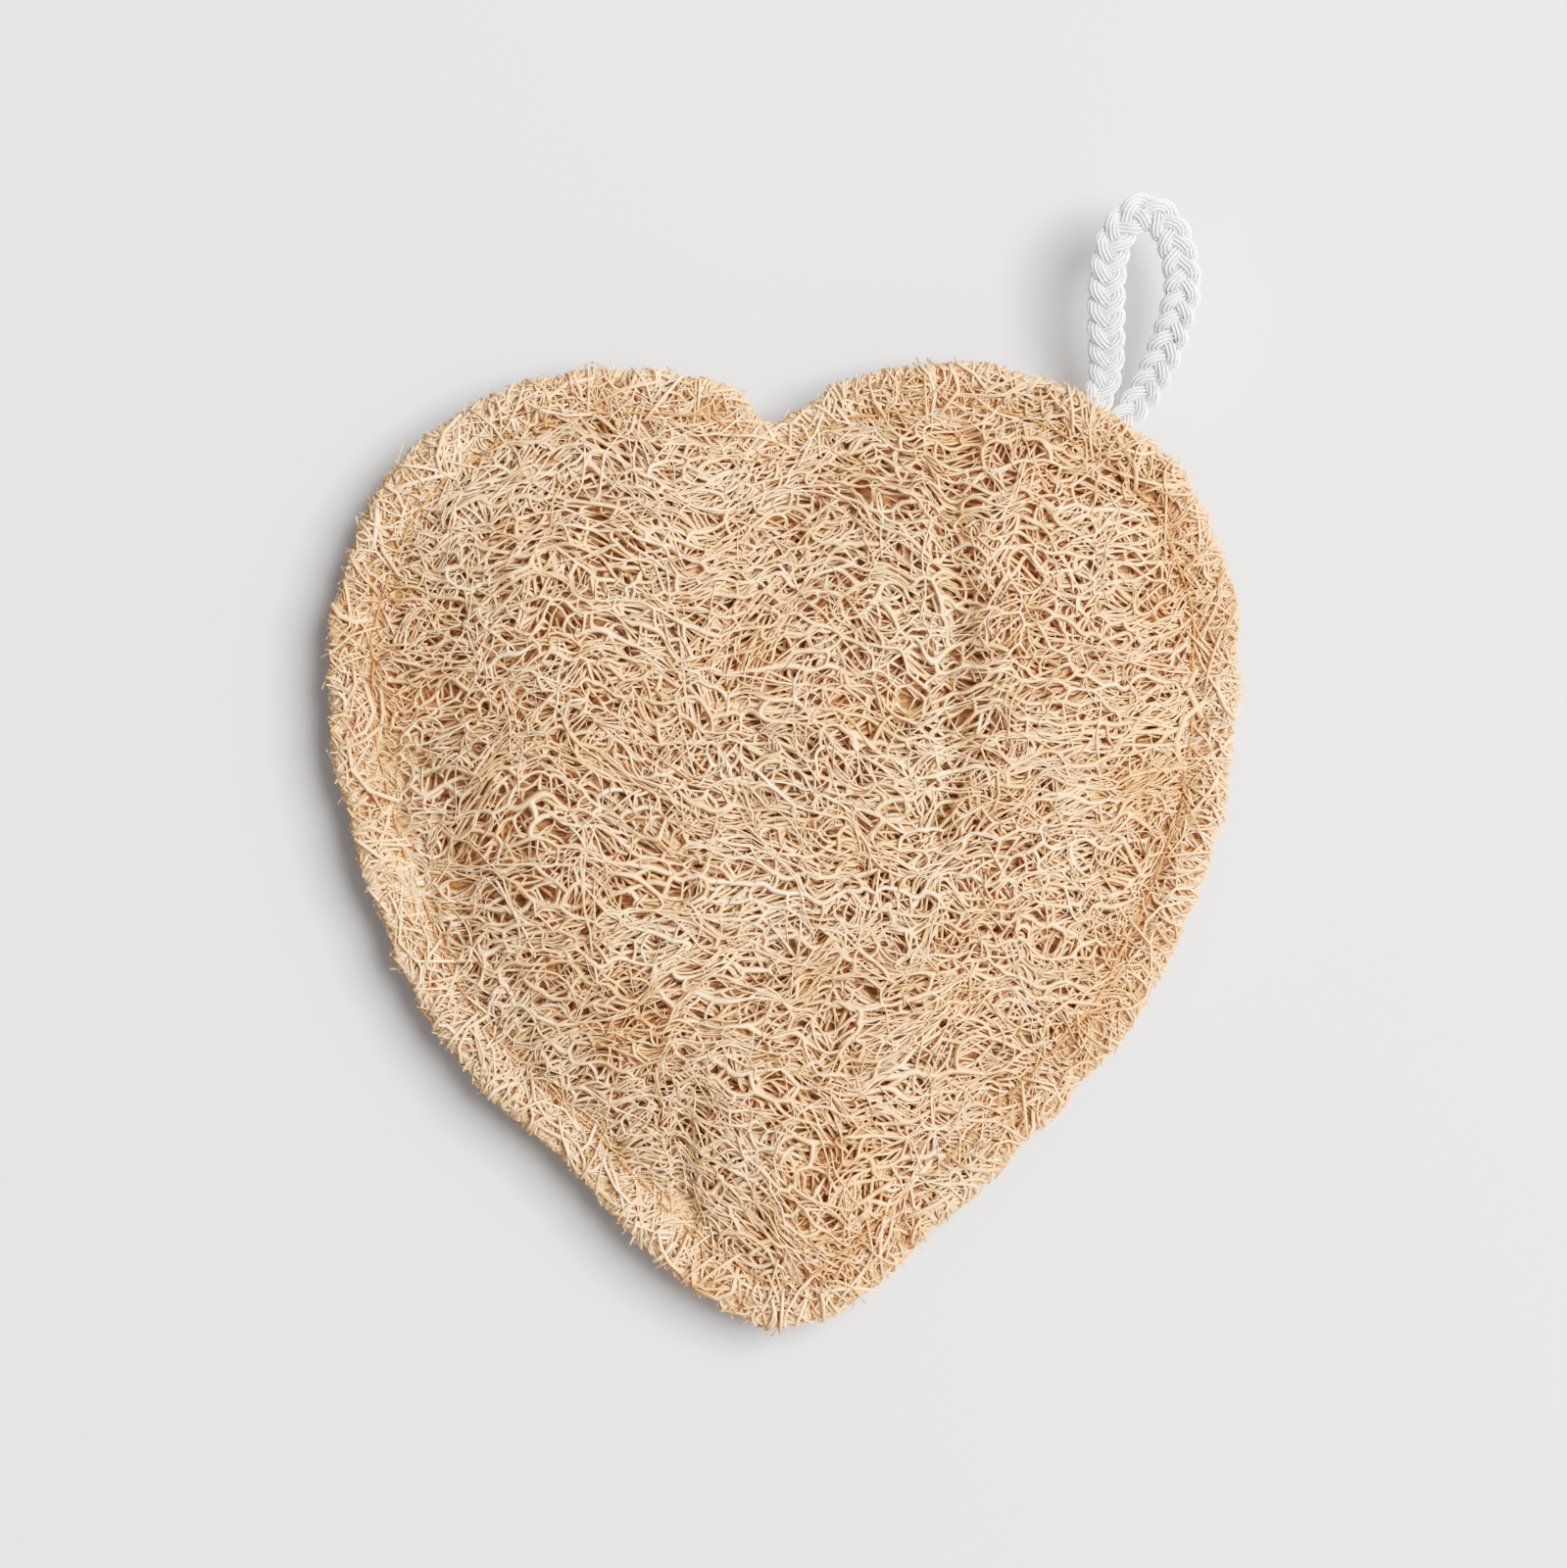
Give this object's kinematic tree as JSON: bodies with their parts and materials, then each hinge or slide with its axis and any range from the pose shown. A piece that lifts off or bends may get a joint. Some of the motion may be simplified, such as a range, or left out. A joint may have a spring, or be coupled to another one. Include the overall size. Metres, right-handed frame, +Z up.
{
  "type": "loofah scrub pad",
  "caption": "Heart-shaped bath scrub pad sewn from two puffed sheets of natural loofah net, with a braided cord hanging loop caught in its seam.",
  "frame": {"origin": "bottom centre of the pad's own box, without its loop, on the surface that it lies on", "axes": "+Z up out of the front sheet, +Y from the heart's tip to its notch, +X to the right seen from the front, towards the loop's side"},
  "size_m": [0.1238, 0.1504, 0.0198],
  "materials": {
    "front_loofah": "dry cream plant fibre net, matte with a faint sheen",
    "back_loofah": "dry tan plant fibre net, matte",
    "seam_thread": "ochre sewing thread",
    "hanging_loop": "white braided cotton cord"
  },
  "bodies": {
    "root": {"front_loofah_sheet": "front_loofah", "back_loofah_sheet": "back_loofah", "seam_top_thread": "seam_thread", "seam_under_thread": "seam_thread", "hanging_loop": "hanging_loop"}
  },
  "joints": []
}
